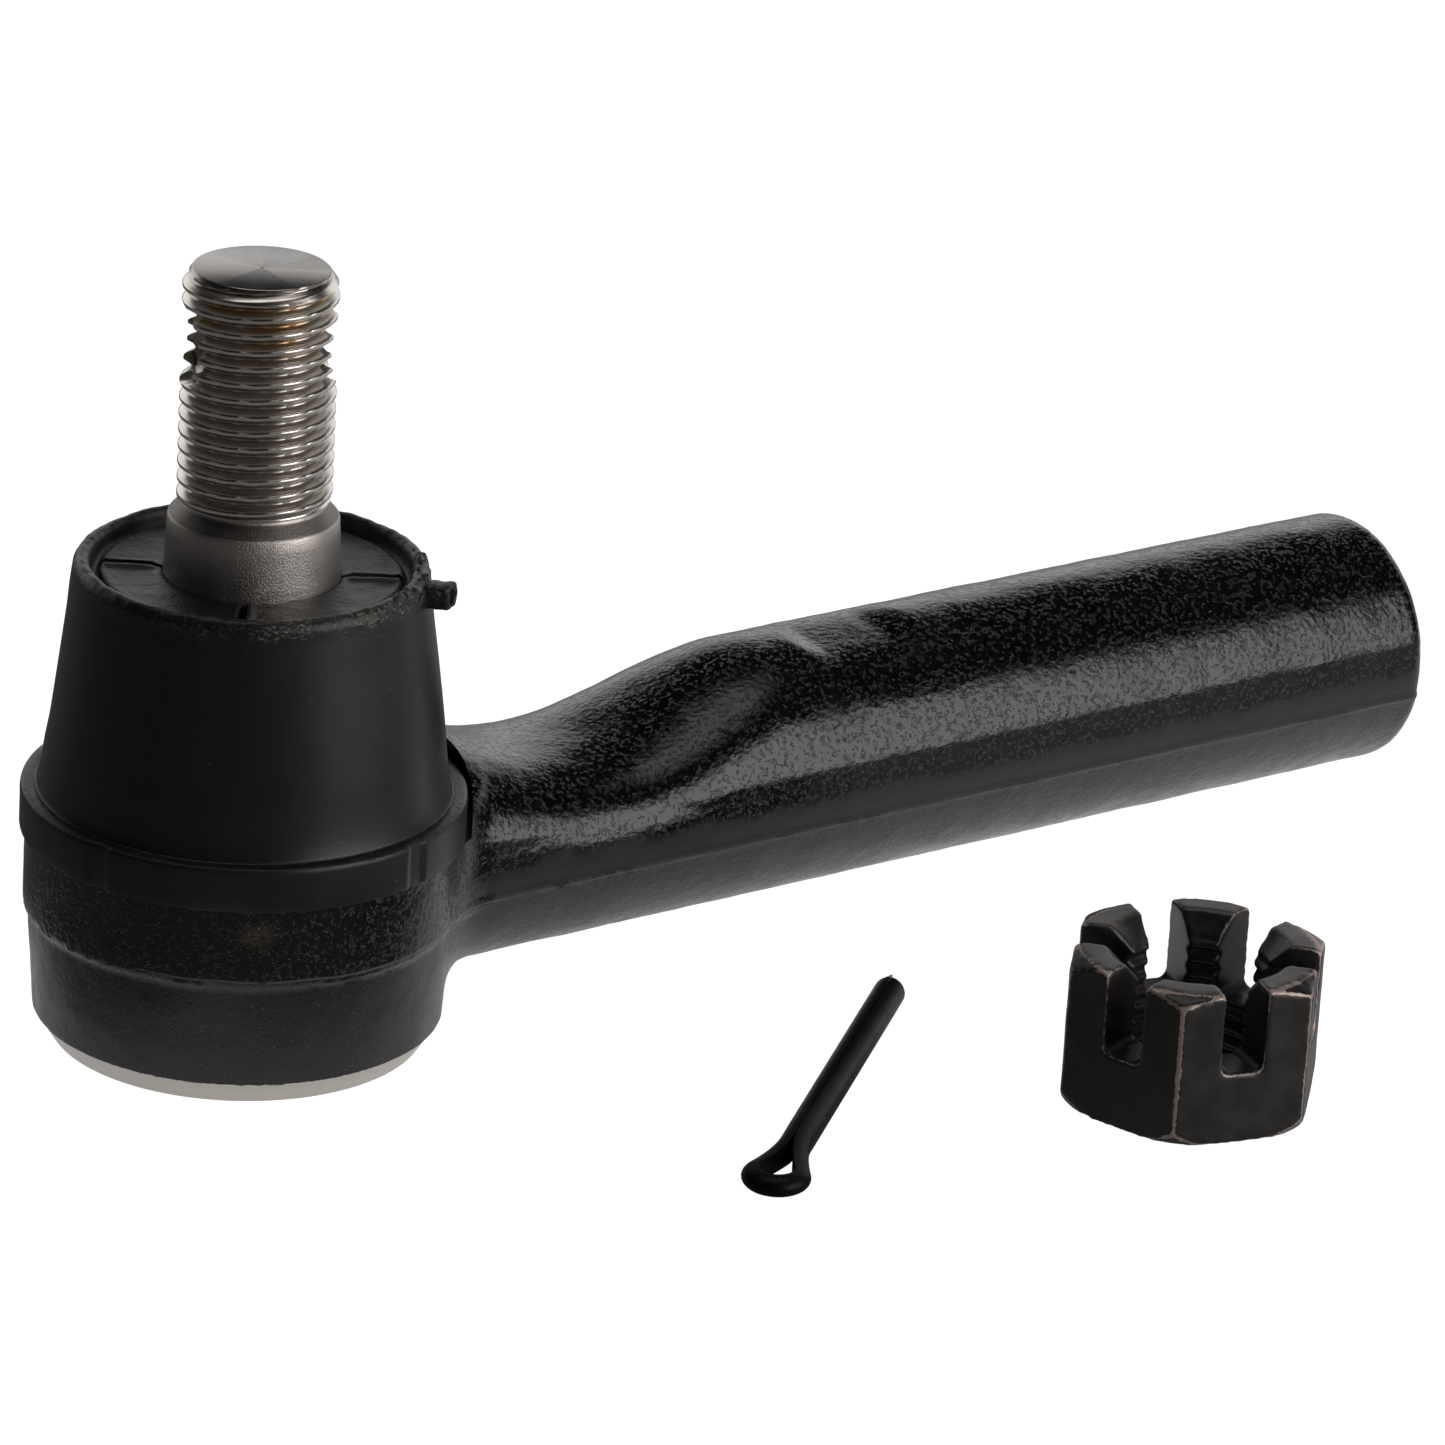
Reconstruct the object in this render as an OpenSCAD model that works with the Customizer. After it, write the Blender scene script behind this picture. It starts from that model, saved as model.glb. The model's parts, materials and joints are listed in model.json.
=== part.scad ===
// Outer tie rod end: a ball stud held in a forged socket with a long tapped
// shank, a rubber dust boot over the joint, and its loose slotted nut and
// split pin lying beside it. Millimetres, +Z up.
// The origin is the centre of the closing plug's outer face, on the stud's
// axis. +Z runs up the stud, and +X runs along the shank.

/* [Ball joint] */
// Radius of the ball
ball_r = 12; // [10:0.5:14.5]
// Running gap between the ball and its seats
ball_gap = 0.05; // [0.02:0.01:0.1]
// Wall of the two bearing seats
seat_wall = 1.8; // [1.2:0.1:2.4]
// Angle from the axis at which the upper seat stops short of the stud
seat_mouth_angle = 60; // [58:1:64]
// Angle from the axis of the grease opening under the ball
seat_floor_angle = 27.4; // [22:0.2:32]
// Largest lean of the stud in any direction
max_lean = 26; // [18:1:28]

/* [Socket] */
// Wall of the forged socket round its cavity
socket_wall = 5.4; // [4:0.1:7]
// Height of the metal that holds the upper seat down
roof_h = 4.2; // [3:0.1:6]
// Wall of the collar that carries the boot
collar_wall = 3.1; // [2.4:0.1:4]
// How far the trimmed band stands proud of the socket
trim_proud = 0.4; // [0.2:0.1:0.8]
// Height of the trimmed band
trim_h = 7.5; // [6:0.5:9]
// Height of the machined bevel round the bottom edge
bevel_h = 2.3; // [1.5:0.1:3]
// Width of the machined bevel
bevel_w = 1.55; // [1:0.05:2]
// Taper of the socket's wall below the trimmed band
draft = 0.7; // [0.3:0.1:1]

/* [Closing plug] */
// Thickness of the closing plug
plug_t = 2.4; // [1.8:0.1:3]
// Width of the ledge that the plug sits on
plug_ledge = 0.75; // [0.5:0.05:1]
// Bevel of the plug's edge, which the socket's lip is rolled over
plug_bevel = 1.25; // [0.8:0.05:1.5]
// Gap round the plug
plug_gap = 0.05; // [0.02:0.01:0.1]
// Height of the dished spring
spring_h = 2.2; // [1.6:0.1:2.8]
// Thickness of the dished spring
spring_t = 0.85; // [0.6:0.05:1.1]

/* [Shank] */
// Radius of the shank
shank_r = 12.2; // [10:0.1:14.7]
// Reach of the shank from the stud's axis to its end
shank_reach = 128.8; // [105:0.2:160]
// Radius of the tapped hole at its thread's crests
shank_bore_r = 7.19; // [5.9:0.01:8.7]
// Depth of the tapped hole
shank_bore_depth = 75; // [50:1:90]
// Depth of the scoop in the top of the neck
scoop_depth = 5.5; // [3:0.1:7]
// Radius of the scoop
scoop_r = 20; // [16:0.5:24]
// Rounding of the shank's end
shank_edge = 1; // [0.5:0.1:1.5]

/* [Ball stud] */
// Height of the stud's end above the ball's centre
stud_h = 57.3; // [50:0.1:68]
// Radius of the neck above the ball
neck_r = 6; // [5:0.1:6.8]
// Radius of the taper at its small end
taper_top_r = 7.68; // [7.4:0.01:9.2]
// Length of the taper
taper_len = 13.1; // [10:0.1:15]
// Growth of the taper's radius for each millimetre down
taper_rate = 0.05; // [0.04:0.0025:0.07]
// Radius of the thread's crests
thread_r = 6.95; // [5.8:0.01:7.3]
// Length of the thread with its run-out
thread_len = 23; // [19:0.5:28]
// Room for the split pin in the stud's cross hole
pin_hole_room = 0.7; // [0.3:0.1:1]
// Radius of the cross hole's countersink at the thread's crests
pin_sink_r = 3.9; // [2.6:0.1:4.2]
// Distance from the stud's end to the cross hole
pin_hole_drop = 6.8; // [6:0.1:8]
// Direction of the cross hole round the stud
pin_hole_turn = -24; // [-90:1:90]

/* [Dust boot] */
// Height that the boot's base grips on the collar
base_h = 6; // [5:0.1:7]
// Height of the band round the base's foot
band_h = 4.1; // [3.4:0.1:5]
// Thickness of the base band, steel ring included
base_wall = 3.15; // [2.8:0.05:4]
// Thickness of the steel ring in the base band
core_t = 0.8; // [0.6:0.05:1.1]
// Height of the boot from its seat to its rim
boot_h = 25.7; // [21:0.1:30.8]
// Radius of the rim at its top edge
rim_r = 15.8; // [14.6:0.1:18.8]
// Thickness of the flexing wall
wall_t = 1.8; // [1.4:0.1:2.2]
// Height of the swinging crown at the boot's top
crown_h = 3.2; // [2.8:0.1:4]
// Height of the lip that holds the stud
lip_h = 3.7; // [3:0.1:5]
// Running gap between the lip and the stud
lip_gap = 0.05; // [0.02:0.01:0.1]
// Depth of the recess inside the rim
recess = 1.1; // [0.6:0.1:1.6]
// Number of slits in the recessed disc
slit_count = 4; // [2:1:8]
// Direction of the moulding nub on the rim
nub_turn = -43; // [-180:1:180]

/* [Slotted nut] */
// Width of the nut across its flats
nut_af = 22; // [19:0.5:24]
// Height of the nut
nut_h = 14.65; // [13:0.05:17.6]
// Height of the floor of its slots
nut_slot_z = 6.8; // [5.8:0.1:8]
// Room for the split pin across the nut's slots
nut_slot_room = 1.1; // [0.5:0.1:1.6]
// Depth that the nut's thread reaches into the stud's
thread_bite = 0.76; // [0.5:0.01:0.9]
// Distance of the nut from the stud's axis, along the shank
nut_x = 68; // [40:1:90]
// Distance of the nut from the stud's axis, sideways
nut_y = -53.8; // [-80:0.2:-38]
// Turn of the nut
nut_turn = 46; // [0:1:60]

/* [Split pin] */
// Diameter of the pin's two legs together
pin_d = 2.9; // [2.4:0.1:3.5]
// Reach of the long leg from the middle of the eye
pin_reach = 46.3; // [36:0.1:56]
// How much shorter the other leg is
pin_step = 2; // [1:0.5:4]
// Outer radius of the eye
eye_r = 3.1; // [2.8:0.1:3.6]
// Distance of the eye from the stud's axis, along the shank
pin_x = 22.8; // [10:0.2:40]
// Distance of the eye from the stud's axis, sideways
pin_y = -53; // [-70:0.2:-40]
// Direction of the pin
pin_turn = 40.6; // [0:0.2:90]

/* [Hidden] */
$fn = 96;
eps = 0.01;

// Ball and seats, from the plug upwards
seat_bore_r = ball_r + ball_gap;
seat_r = seat_bore_r + seat_wall;
seat_floor_z = plug_t + spring_h;
ball_z = seat_floor_z + seat_bore_r * cos(seat_floor_angle);
seat_top_z = ball_z + seat_bore_r * cos(seat_mouth_angle);
seat_mouth_r = seat_bore_r * sin(seat_mouth_angle);
seat_split = 0.4;
ball_flat_z = -ball_r * cos(seat_floor_angle + 1);

// Socket
cavity_r = seat_r + plug_gap;
socket_r = cavity_r + socket_wall;
trim_r = socket_r + trim_proud;
collar_top = seat_top_z + roof_h;
boot_z = collar_top - base_h;
trim_z = boot_z - trim_h;
collar_r = cavity_r + collar_wall;
plug_r = cavity_r + plug_ledge - plug_gap;
mouth_r = seat_mouth_r + 0.45;
mouth_top_r = (collar_top - ball_z) * tan(max_lean) + neck_r / cos(max_lean) + 1;
collar_edge = 0.5;

// Boot
core_bore_r = collar_r + 0.05;
base_r = collar_r + base_wall;
rim_z = boot_z + boot_h;
base_top = boot_z + base_h + 1.5;
crown_z = rim_z - crown_h;
disc_z = rim_z - recess;
foot_r = base_r - 1.45;
waist_r = base_r - 3.1;
crown_r = rim_r + 0.4;
wall_mid_z = (base_top + crown_z) / 2;

// Stud, and the nut and split pin that fit it
pin_hole_r = (pin_d + pin_hole_room) / 2;
pin_sink_depth = 2.6;
nut_slot_w = pin_d + nut_slot_room;
nut_bore_r = thread_r - thread_bite;
stud_top = ball_z + stud_h;
taper_top_z = stud_top - thread_len;
taper_z = taper_top_z - taper_len;
taper_r = taper_top_r + taper_rate * taper_len;
thread_chamfer = 0.85;
runout_h = 1.6;
function taper_at(z) = taper_top_r + taper_rate * (taper_top_z - z);

// Shank
scoop_x = trim_r + 13.3;
scoop_z = ball_z + shank_r - scoop_depth + scoop_r;
drill_tip = shank_bore_r / tan(59);

module disc_at(z, r, h) {
    translate([0, 0, z]) cylinder(r = r, h = h);
}

// Forging: socket with its collar, and the shank, bored from below and from the end
module socket_outline() {
    rotate_extrude() polygon([
        [0, 0], [socket_r - draft - bevel_w, 0], [socket_r - draft, bevel_h],
        [socket_r, trim_z - trim_proud], [trim_r, trim_z], [trim_r, boot_z],
        [collar_r, boot_z], [collar_r, collar_top - collar_edge],
        [collar_r - collar_edge, collar_top], [0, collar_top],
    ]);
}

module cavity() {
    rotate_extrude() polygon([
        [0, -eps], [plug_r + plug_gap - plug_bevel - eps, -eps],
        [plug_r + plug_gap, plug_bevel], [plug_r + plug_gap, plug_t],
        [cavity_r, plug_t], [cavity_r, seat_top_z], [mouth_r, seat_top_z],
        [mouth_top_r, collar_top], [mouth_top_r, collar_top + 1], [0, collar_top + 1],
    ]);
}

module shank_solid() {
    translate([0, 0, ball_z]) rotate([0, 90, 0]) rotate_extrude() polygon([
        [0, 0], [shank_r, 0], [shank_r, shank_reach - shank_edge],
        [shank_r - shank_edge, shank_reach], [0, shank_reach],
    ]);
}

module shank_bore() {
    translate([shank_reach, 0, ball_z]) rotate([0, -90, 0]) rotate_extrude() polygon([
        [0, -1], [shank_bore_r + 1, -1], [shank_bore_r + 1, 0], [shank_bore_r, 1],
        [shank_bore_r, shank_bore_depth], [0, shank_bore_depth + drill_tip],
    ]);
}

module neck_scoop() {
    translate([scoop_x, -shank_r - 1, scoop_z]) rotate([-90, 0, 0])
        cylinder(r = scoop_r, h = 2 * shank_r + 2);
}

module housing() color([0.03, 0.03, 0.035]) difference() {
    union() {
        socket_outline();
        difference() {
            shank_solid();
            disc_at(boot_z, base_r + 0.5, shank_r * 2);
            neck_scoop();
        }
    }
    cavity();
    shank_bore();
}

// Steel cover that closes the socket and loads the spring
module closing_plug() color([0.05, 0.05, 0.055]) rotate_extrude() polygon([
    [0, 0], [plug_r - plug_bevel, 0], [plug_r, plug_bevel], [plug_r, plug_t], [0, plug_t],
]);

// Dished spring washer between the plug and the lower seat
module dish_spring() color([0.35, 0.36, 0.38]) rotate_extrude() {
    outer = cavity_r - 0.7;
    inner = seat_bore_r * sin(seat_floor_angle) + 0.9;
    land = 0.8;
    polygon([
        [outer - land, plug_t], [outer, plug_t], [outer, plug_t + spring_t],
        [inner + land, seat_floor_z], [inner, seat_floor_z], [inner, seat_floor_z - spring_t],
    ]);
}

// Acetal bearing seats: a ring with a ball-shaped hollow, cut at the ball's middle
module seat_ring(low, high) {
    difference() {
        disc_at(low, seat_r, high - low);
        translate([0, 0, ball_z]) sphere(r = seat_bore_r);
    }
}

module lower_seat() color([0.85, 0.84, 0.78])
    seat_ring(seat_floor_z, ball_z - seat_split / 2);

module upper_seat() color([0.85, 0.84, 0.78])
    seat_ring(ball_z + seat_split / 2, seat_top_z);

// Ball stud: ball, neck, taper and thread in one forging
module stud_shaft() {
    rotate_extrude() polygon([
        [0, ball_z], [neck_r, ball_z], [neck_r, ball_z + ball_r + 0.5],
        [taper_r, taper_z - 0.4], [taper_r, taper_z], [taper_top_r, taper_top_z],
        [thread_r - 0.35, taper_top_z + 0.7], [thread_r - 0.35, taper_top_z + runout_h],
        [thread_r, taper_top_z + runout_h + 0.35], [thread_r, stud_top - thread_chamfer * 1.5],
        [thread_r - thread_chamfer, stud_top], [0, stud_top],
    ]);
}

module pin_hole() {
    reach = thread_r + 1;
    spread = (pin_sink_r - pin_hole_r) / pin_sink_depth;
    translate([0, 0, stud_top - pin_hole_drop]) rotate([0, 0, pin_hole_turn]) rotate([0, 90, 0])
        rotate_extrude() polygon([
            [0, -reach], [pin_sink_r + spread, -reach], [pin_hole_r, pin_sink_depth - thread_r],
            [pin_hole_r, thread_r - pin_sink_depth], [pin_sink_r + spread, reach], [0, reach],
        ]);
}

module ball_stud() color([0.55, 0.53, 0.5]) difference() {
    union() {
        difference() {
            translate([0, 0, ball_z]) sphere(r = ball_r);
            disc_at(ball_z - ball_r - 1, ball_r, ball_r + 1 + ball_flat_z);
        }
        stud_shaft();
    }
    pin_hole();
}

// Steel ring moulded into the boot's base, pressed over the socket's collar
module boot_core_ring() color([0.3, 0.3, 0.32]) rotate_extrude() polygon([
    [core_bore_r, boot_z], [base_r - 0.9, boot_z], [base_r - 0.9, boot_z + core_t],
    [core_bore_r + core_t, boot_z + core_t], [core_bore_r + core_t, collar_top - collar_edge],
    [core_bore_r, collar_top - collar_edge],
]);

// Rubber boot, in the three parts that move differently
module boot_base() color([0.02, 0.02, 0.02]) rotate_extrude() polygon([
    [base_r - 0.9, boot_z], [base_r, boot_z], [base_r, boot_z + band_h], [foot_r, boot_z + band_h + 0.3],
    [foot_r - 0.5, base_top], [foot_r - 0.5 - wall_t, base_top],
    [core_bore_r, collar_top + 0.2], [core_bore_r, collar_top - collar_edge],
    [core_bore_r + core_t, collar_top - collar_edge], [core_bore_r + core_t, boot_z + core_t],
    [base_r - 0.9, boot_z + core_t],
]);

module boot_wall() color([0.02, 0.02, 0.02]) rotate_extrude() polygon([
    [foot_r - 0.5, base_top], [waist_r, wall_mid_z], [crown_r, crown_z],
    [crown_r - wall_t, crown_z], [waist_r - wall_t, wall_mid_z], [foot_r - 0.5 - wall_t, base_top],
]);

module crown_outline() {
    bore_low = taper_at(disc_z - lip_h) + lip_gap;
    bore_high = taper_at(disc_z) + lip_gap;
    rotate_extrude() polygon([
        [crown_r, crown_z], [rim_r, rim_z - 0.5], [rim_r - 0.5, rim_z], [rim_r - 1.3, rim_z],
        [rim_r - 1.7, disc_z - 0.6], [rim_r - 2.3, disc_z - 0.6], [rim_r - 2.6, disc_z],
        [bore_high, disc_z], [bore_low, disc_z - lip_h], [bore_low + 2.5, disc_z - lip_h],
        [bore_low + 3.3, crown_z], [crown_r - wall_t, crown_z],
    ]);
}

module lip_groove(gap) {
    inner = taper_at(disc_z - lip_h) + lip_gap + 0.9 - gap;
    rotate_extrude() translate([inner, disc_z - lip_h - gap]) square([1 + 2 * gap, 2 + gap]);
}

module slit(turn) {
    slit_w = 0.5;
    slit_depth = 0.9;
    inner = taper_at(disc_z) + 0.6;
    rotate([0, 0, turn]) translate([inner, -slit_w / 2, disc_z - slit_depth])
        cube([rim_r - 2.9 - inner, slit_w, slit_depth + 1]);
}

module nub() {
    nub_w = 2.5;
    rotate([0, 0, nub_turn]) translate([rim_r - 1, -nub_w / 2, rim_z - nub_w - 0.2])
        cube([nub_w + 1, nub_w, nub_w - 0.4]);
}

module boot_crown() color([0.02, 0.02, 0.02]) difference() {
    union() {
        crown_outline();
        nub();
    }
    lip_groove(0);
    for (k = [0 : slit_count - 1]) {
        slit(54 + k * 360 / slit_count);
    }
}

// Ring that stiffens the lip round the stud
module boot_lip_ring() color([0.3, 0.3, 0.32]) lip_groove(0);

// Slotted hexagon nut, lying on its flat face
module castle_nut() color([0.05, 0.05, 0.05]) translate([nut_x, nut_y, 0]) rotate([0, 0, nut_turn]) {
    corner_r = nut_af / sqrt(3);
    foot_chamfer = 1.2;
    top_chamfer = 1.7;
    difference() {
        intersection() {
            cylinder(r = corner_r, h = nut_h, $fn = 6);
            rotate_extrude() polygon([
                [0, 0], [corner_r - foot_chamfer, 0], [corner_r + eps, foot_chamfer * 1.15],
                [corner_r + eps, nut_h - top_chamfer * 0.58], [corner_r - top_chamfer, nut_h],
                [0, nut_h],
            ]);
        }
        rotate_extrude() polygon([
            [0, -1], [nut_bore_r + 1, -1], [nut_bore_r + 1, 0], [nut_bore_r, 1],
            [nut_bore_r, nut_h - 2.3], [nut_bore_r + 2.3, nut_h], [nut_bore_r + 2.3, nut_h + 1],
            [0, nut_h + 1],
        ]);
        for (k = [0 : 2]) {
            rotate([0, 0, 30 + k * 60]) translate([-nut_af, -nut_slot_w / 2, nut_slot_z])
                cube([2 * nut_af, nut_slot_w, nut_h]);
        }
    }
}

// Split pin of half-round wire: an eye, and two legs with their flats together
module half_round(side, length) {
    rotate([0, 90, 0]) intersection() {
        cylinder(d = pin_d, h = length);
        translate([-pin_d, side > 0 ? 0.04 : -pin_d, 0]) cube([2 * pin_d, pin_d - 0.04, length]);
    }
}

module cotter_pin() color([0.04, 0.04, 0.045])
translate([pin_x, pin_y, pin_d / 2]) rotate([0, 0, pin_turn]) {
    eye_hole = eye_r - pin_d / 2;
    spread = 38;
    start = [eye_hole * cos(spread), eye_hole * sin(spread)];
    join_x = eye_r * 2.1;
    run = join_x - start[0];
    lean = atan2(start[1], run);
    difference() {
        rotate_extrude() polygon([
            for (k = [-8 : 8]) [eye_hole + pin_d / 2 * cos(k * 11.25), pin_d / 2 * sin(k * 11.25)]
        ]);
        translate([0, 0, -pin_d]) linear_extrude(2 * pin_d) polygon([
            [0, 0], 2 * eye_r * [cos(spread), -sin(spread)], 2 * eye_r * [cos(spread), sin(spread)],
        ]);
    }
    for (side = [-1, 1]) {
        translate([start[0], side * start[1], 0]) rotate([0, 0, -side * lean])
            half_round(side, run / cos(lean));
        translate([join_x - 0.6, 0, 0])
            half_round(side, pin_reach - (side > 0 ? 0 : pin_step) - join_x + 0.6);
    }
}

housing();
closing_plug();
dish_spring();
lower_seat();
upper_seat();
ball_stud();
boot_core_ring();
boot_base();
boot_wall();
boot_crown();
boot_lip_ring();
castle_nut();
cotter_pin();
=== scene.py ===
# Outer tie rod end: looks of the forged socket and shank, the ball stud, the dust
# boot, and the slotted nut and split pin that lie beside them.
import json
import math

import bmesh
import bpy
import numpy as np
from mathutils import Matrix, Vector, noise


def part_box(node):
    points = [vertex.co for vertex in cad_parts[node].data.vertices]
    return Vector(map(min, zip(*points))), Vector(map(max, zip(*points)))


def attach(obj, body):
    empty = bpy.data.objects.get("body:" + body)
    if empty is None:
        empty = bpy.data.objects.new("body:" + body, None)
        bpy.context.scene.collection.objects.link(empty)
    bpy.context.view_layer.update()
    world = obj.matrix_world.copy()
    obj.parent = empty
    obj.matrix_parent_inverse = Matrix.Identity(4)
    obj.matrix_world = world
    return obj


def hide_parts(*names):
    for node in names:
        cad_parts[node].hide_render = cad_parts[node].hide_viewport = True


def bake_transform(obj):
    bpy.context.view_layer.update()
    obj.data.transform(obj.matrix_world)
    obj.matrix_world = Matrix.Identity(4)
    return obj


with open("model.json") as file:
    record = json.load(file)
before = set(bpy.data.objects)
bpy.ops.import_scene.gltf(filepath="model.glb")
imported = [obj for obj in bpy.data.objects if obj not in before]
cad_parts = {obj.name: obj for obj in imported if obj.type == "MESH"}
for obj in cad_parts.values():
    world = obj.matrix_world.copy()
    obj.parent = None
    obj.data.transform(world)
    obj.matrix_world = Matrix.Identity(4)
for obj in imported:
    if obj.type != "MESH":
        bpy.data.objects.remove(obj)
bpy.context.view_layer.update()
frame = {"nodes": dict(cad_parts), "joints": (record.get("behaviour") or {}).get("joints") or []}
MM = 0.001

# -------------------- the studio
# A pale floor in a dim room whose far wall is a white backdrop, lit by two soft boxes.
# The floor glows evenly white to the camera. To all other rays it glows as a painted pool
# of light under and along the parts, with a fainter glow further along X.
# The camera has a long lens and stands to the front left, a little rolled.

camera_turn = -36.06
camera_height = 21.84
camera_roll = 3.31
camera_far = 700 * MM
camera_lens = 198.1
looked_at = Vector((27.53, -34.62, 36.9)) * MM


def facing(turn, height, roll=0.0):
    """The turn of a camera or lamp that looks down at a height and round by a turn."""
    round_up = Matrix.Rotation(math.radians(turn), 3, "Z")
    down = Matrix.Rotation(math.radians(90 - height), 3, "X")
    return round_up @ down @ Matrix.Rotation(math.radians(roll), 3, "Z")


camera_data = bpy.data.cameras.new("camera")
camera_data.lens = camera_lens
camera_data.sensor_width = 36
camera_data.clip_start = 0.01
camera = bpy.data.objects.new("camera", camera_data)
camera_place = facing(camera_turn, camera_height, camera_roll)
camera.matrix_world = Matrix.Translation(
    looked_at + camera_place @ Vector((0, 0, camera_far))
) @ camera_place.to_4x4()
bpy.context.scene.collection.objects.link(camera)
bpy.context.scene.camera = camera
bpy.context.scene.view_settings.view_transform = "Standard"


def soft_box(name, turn, height, far, wide, tall, watts):
    """A rectangular lamp that looks at the part from a turn and a height."""
    data = bpy.data.lights.new(name, "AREA")
    data.shape = "RECTANGLE"
    data.size = wide
    data.size_y = tall
    data.energy = watts
    data.color = (1.0, 0.965, 0.935)
    lamp = bpy.data.objects.new(name, data)
    place = facing(turn, height)
    middle = Vector((0.03, -0.02, 0.02))
    lamp.matrix_world = Matrix.Translation(
        middle + place @ Vector((0, 0, far))
    ) @ place.to_4x4()
    bpy.context.scene.collection.objects.link(lamp)


soft_box("key_box", 27, 21, 0.9, 0.72, 0.66, 4.6)
soft_box("top_box", -36, 98, 0.9, 0.7, 0.36, 1.0)


class Wire:
    """A socket that a node gives out. Arithmetic on wires adds the Math nodes for it."""

    def __init__(self, tree, socket):
        self.tree = tree
        self.socket = socket

    def node(self, kind, settings=None, out=0, **sockets):
        """Adds any other node: its settings first, then its sockets' values or links.
        A socket goes by its name with _ for a space, or by n and its number."""
        made = self.tree.nodes.new(kind)
        for name, value in (settings or {}).items():
            setattr(made, name, value)
        for name, value in sockets.items():
            numbered = name[0] == "n" and name[1:].isdigit()
            spot = made.inputs[int(name[1:]) if numbered else name.replace("_", " ")]
            if isinstance(value, Wire):
                self.tree.links.new(value.socket, spot)
            else:
                spot.default_value = value
        return Wire(self.tree, made.outputs[out])

    def sum(self, operation, *values):
        """A Math node on these values."""
        sockets = {f"n{k}": value for k, value in enumerate(values)}
        return self.node("ShaderNodeMath", {"operation": operation}, **sockets)

    def __add__(self, other):
        return self.sum("ADD", self, other)

    def __sub__(self, other):
        return self.sum("SUBTRACT", self, other)

    def __rsub__(self, other):
        return self.sum("SUBTRACT", other, self)

    def __mul__(self, other):
        return self.sum("MULTIPLY", self, other)

    def __truediv__(self, other):
        return self.sum("DIVIDE", self, other)

    def __pow__(self, other):
        return self.sum("POWER", self, other)

    __radd__ = __add__
    __rmul__ = __mul__

    def part(self, axis):
        """One of X, Y and Z of a vector."""
        return self.node("ShaderNodeSeparateXYZ", out="XYZ".index(axis), Vector=self)

    def rise(self, low, high):
        """0 below low and 1 above high, with a smooth step between them."""
        return self.node(
            "ShaderNodeMapRange", {"interpolation_type": "SMOOTHSTEP"},
            Value=self, From_Min=low, From_Max=high,
        )

    def distance(self):
        """How far this is from nought, either way."""
        return self.sum("ABSOLUTE", self)

    def grain(self, size, detail=2.0, rough=0.5):
        """Noise whose blotches are about size metres across."""
        return self.node(
            "ShaderNodeTexNoise", Vector=self, Scale=1 / size, Detail=detail, Roughness=rough,
        )

    def stretched(self, x, y, z):
        """These coordinates, multiplied along each axis."""
        return self.node("ShaderNodeMapping", Vector=self, Scale=(x, y, z))

    def between(self, first, second):
        """A colour from first, where this is 0, to second, where it is 1."""
        return self.node(
            "ShaderNodeMix", {"data_type": "RGBA"}, out=2, n0=self, n6=first, n7=second,
        )


def room():
    """A white backdrop that ends at a height, and dim walls all round."""
    world = bpy.data.worlds.new("room")
    bpy.context.scene.world = world
    world.use_nodes = True
    tree = world.node_tree
    place = tree.nodes.new("ShaderNodeTexCoord")
    way = Wire(tree, place.outputs["Generated"])
    up = way.part("Z")
    turn = math.radians(camera_turn)
    behind = way.part("X") * -math.sin(turn) + way.part("Y") * math.cos(turn)
    backdrop = behind.rise(0.38, 0.66) * (1 - up.rise(0.385, 0.5))
    light = backdrop + (1 - up.rise(0.0, 0.5)) * 0.03 + 0.01
    shader = tree.nodes["Background"]
    shader.inputs["Color"].default_value = (1, 1, 1, 1)
    tree.links.new(light.socket, shader.inputs["Strength"])


room()


def finish(name, **fixed):
    """A new material, its main shader, and a wire that carries Object coordinates."""
    material = bpy.data.materials.new(name)
    material.use_nodes = True
    tree = material.node_tree
    shader = tree.nodes["Principled BSDF"]
    for socket, value in fixed.items():
        shader.inputs[socket.replace("_", " ")].default_value = value
    place = tree.nodes.new("ShaderNodeTexCoord")
    return material, shader, Wire(tree, place.outputs["Object"])


def wire_up(shader, **sockets):
    """Feeds a shader's changing sockets."""
    for name, wire in sockets.items():
        wire.tree.links.new(wire.socket, shader.inputs[name.replace("_", " ")])


floor_size = 12.0
floor_drop = 0.1 * MM
floor_mesh = bpy.data.meshes.new("floor")
floor_mesh.from_pydata(
    [(x * floor_size, y * floor_size, -floor_drop) for x, y in ((-1, -1), (1, -1), (1, 1), (-1, 1))],
    [], [(0, 1, 2, 3)],
)
floor = bpy.data.objects.new("floor", floor_mesh)
bpy.context.scene.collection.objects.link(floor)
floor_paint, floor_shader, floor_spot = finish(
    "floor_paint", Base_Color=(0.3, 0.3, 0.3, 1), Roughness=0.9,
    Emission_Color=(1, 1, 1, 1), Specular_IOR_Level=0.0,
)
seen = floor_spot.node("ShaderNodeLightPath")
along, aside = floor_spot.part("X"), floor_spot.part("Y")
# Painted light: the floor glows for all but camera rays, most in a strip under and along the parts.
glow_pool_by_parts = (1 - aside.distance().rise(0.018, 0.042)) * along.rise(-0.035, -0.02)
painted_floor_glow = glow_pool_by_parts * 0.5 + along.rise(0.03, 0.09) * 0.2 + 0.03
wire_up(floor_shader, Emission_Strength=seen * (1 - painted_floor_glow) + painted_floor_glow)
floor_mesh.materials.append(floor_paint)

# -------------------- the housing
# One steel forging: a round socket and a round shank that run into each other, with
# the die's trimmed band along their sides. It is painted gloss black; then the foot's
# bevel and the boot's collar are turned, the socket is bored and the shank is tapped.

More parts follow.
